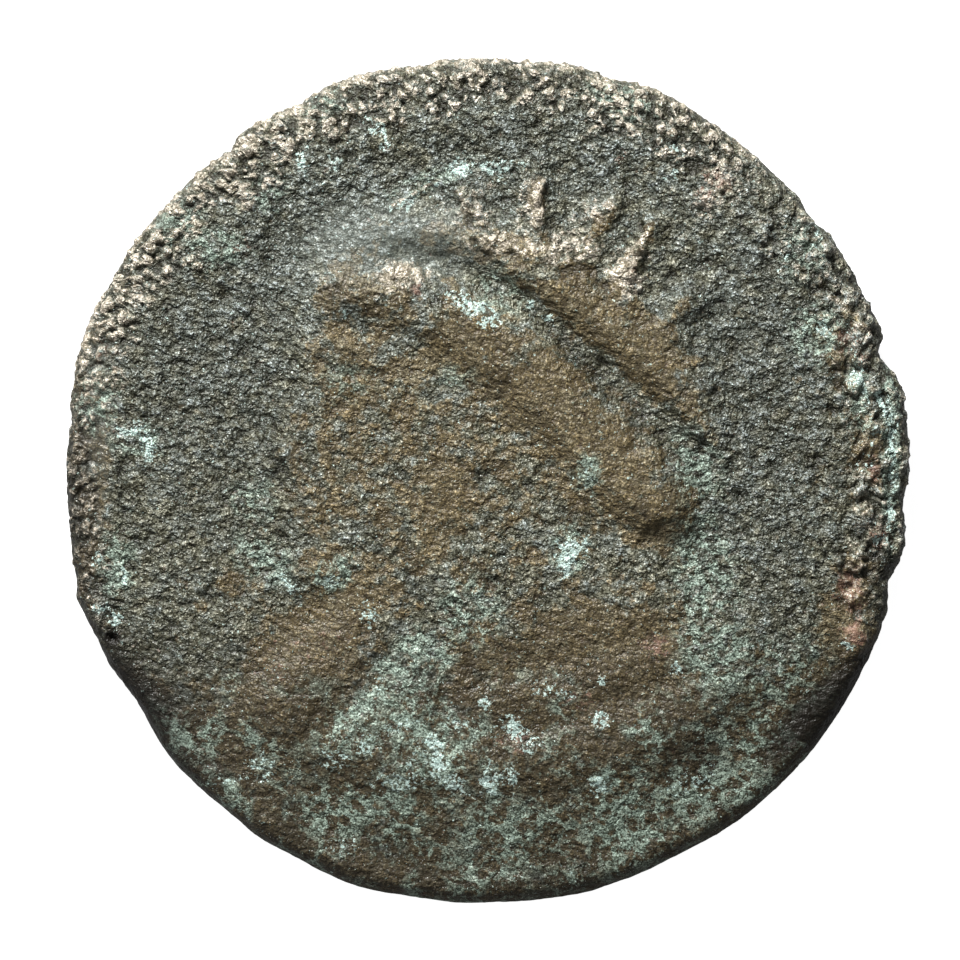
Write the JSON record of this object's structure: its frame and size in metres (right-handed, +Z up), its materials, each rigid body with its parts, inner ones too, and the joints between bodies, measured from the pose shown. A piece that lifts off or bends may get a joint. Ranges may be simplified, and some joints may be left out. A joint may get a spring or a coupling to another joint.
{
  "type": "ancient bronze coin",
  "caption": "Worn struck bronze coin on an uneven round flan: a wreathed bust facing left in low relief, a plain wreath on the reverse.",
  "frame": {"origin": "middle of the underside, in the plane that the coin lies on", "axes": "+Z up out of the obverse, through the coin's thickness; +Y towards the top of the bust; the bust faces -X"},
  "size_m": [0.0279, 0.028, 0.0031],
  "materials": {
    "patinated_bronze": "pitted dark olive-brown patina, green and pale turquoise corrosion, coppery where worn"
  },
  "bodies": {
    "root": {"coin": "patinated_bronze"}
  },
  "joints": []
}
